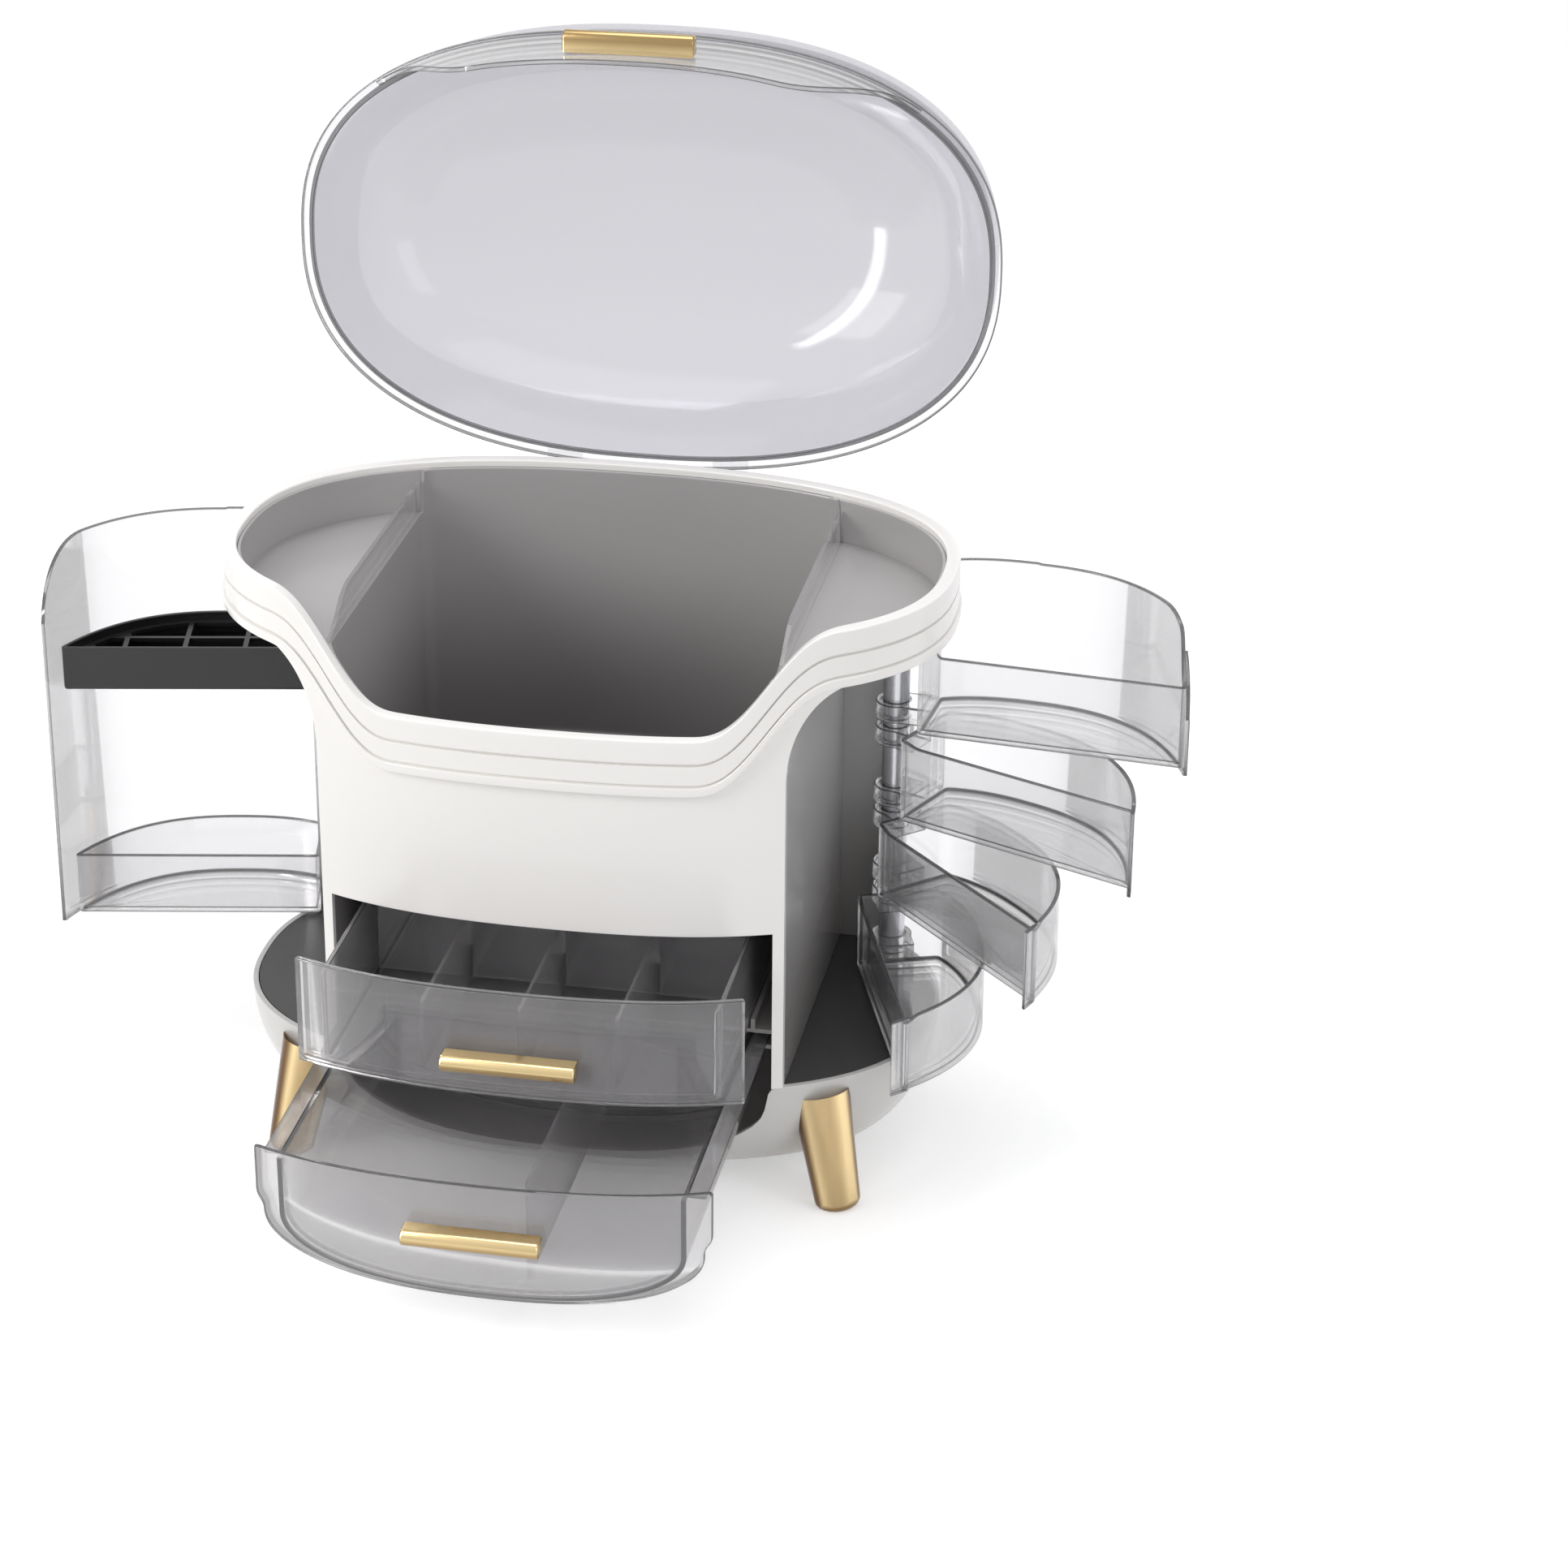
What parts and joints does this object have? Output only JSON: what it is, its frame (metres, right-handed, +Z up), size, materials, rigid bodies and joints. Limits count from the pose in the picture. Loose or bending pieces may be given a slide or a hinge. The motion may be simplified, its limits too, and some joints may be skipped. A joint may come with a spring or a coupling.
{
  "type": "makeup organizer",
  "caption": "Oval dustproof cosmetics organizer on short gold legs, with a clear dome lid, clear drawers, a swing-out door with trays and swing-out bins.",
  "frame": {"origin": "centre of the base bowl's flat underside, 8 mm above the table", "axes": "+Z up, +X to the right as seen from the front, +Y to the back; the front faces -Y"},
  "size_m": [0.5591, 0.4883, 0.5167],
  "materials": {
    "gloss_white": "polished white moulding",
    "liner_grey": "satin grey liner",
    "inner_grey": "satin grey panel",
    "dark_grey": "glossy dark grey",
    "gold": "gold electroplated plastic",
    "clear_lid": "clear moulding with a light smoky tint",
    "clear_smoke": "smoky clear moulding",
    "clear_door": "clear moulding",
    "black": "glossy black",
    "silver": "satin tube"
  },
  "bodies": {
    "cabinet": {"base_bowl": "gloss_white", "side_deck_left": "dark_grey", "side_deck_right": "dark_grey", "leg_front_left": "gold", "leg_front_right": "gold", "leg_rear_left": "gold", "leg_rear_right": "gold", "partition_left": "inner_grey", "partition_right": "inner_grey", "middle_shelf": "inner_grey", "drawer_rails": "inner_grey", "back_shell": "gloss_white", "upper_shell": "gloss_white", "top_tray": "liner_grey", "divider_left": "clear_lid", "divider_right": "clear_lid", "pivot_post_left": "silver", "pivot_post_right": "silver", "lid_hinge_bracket_left": "gloss_white", "lid_hinge_bracket_right": "gloss_white", "lid_hinge_pins": "silver"},
    "lid": {"lid_dome": "clear_lid", "lid_handle": "gold", "lid_hinge_leaves": "clear_lid"},
    "upper_drawer": {"upper_drawer_box": "clear_smoke", "upper_drawer_handle": "gold", "upper_drawer_long_dividers": "clear_smoke", "upper_drawer_cross_divider": "clear_smoke"},
    "lower_drawer": {"lower_drawer_box": "clear_smoke", "lower_drawer_handle": "gold", "lower_drawer_divider": "clear_smoke"},
    "left_door": {"door_shell": "clear_door", "door_shelf": "dark_grey", "lipstick_rack": "black", "door_tray": "clear_door"},
    "top_bin": {"bin_1": "clear_door"},
    "second_bin": {"bin_2": "clear_door"},
    "third_bin": {"bin_3": "clear_door"},
    "lowest_bin": {"bin_4": "clear_door"}
  },
  "joints": [
    {"name": "lid_hinge", "type": "hinge", "parent": "cabinet", "child": "lid", "pos_m": [0, 0.1131, 0.2765], "axis": [-1, 0, 0], "range_deg": [-91, 0]},
    {"name": "upper_drawer_slide", "type": "slide", "parent": "cabinet", "child": "upper_drawer", "axis": [0, -1, 0], "range_m": [-0.066, 0.054]},
    {"name": "lower_drawer_slide", "type": "slide", "parent": "cabinet", "child": "lower_drawer", "axis": [0, -1, 0], "range_m": [-0.14, 0]},
    {"name": "left_door_hinge", "type": "hinge", "parent": "cabinet", "child": "left_door", "pos_m": [-0.138, 0.06103, 0], "axis": [0, 0, -1], "range_deg": [-79, 16]},
    {"name": "top_bin_hinge", "type": "hinge", "parent": "cabinet", "child": "top_bin", "pos_m": [0.138, 0.06103, 0], "axis": [0, 0, 1], "range_deg": [-84, 16]},
    {"name": "second_bin_hinge", "type": "hinge", "parent": "cabinet", "child": "second_bin", "pos_m": [0.138, 0.06103, 0], "axis": [0, 0, 1], "range_deg": [-66, 34]},
    {"name": "third_bin_hinge", "type": "hinge", "parent": "cabinet", "child": "third_bin", "pos_m": [0.138, 0.06103, 0], "axis": [0, 0, 1], "range_deg": [-43, 57]},
    {"name": "lowest_bin_hinge", "type": "hinge", "parent": "cabinet", "child": "lowest_bin", "pos_m": [0.138, 0.06103, 0], "axis": [0, 0, 1], "range_deg": [-19, 81]}
  ]
}
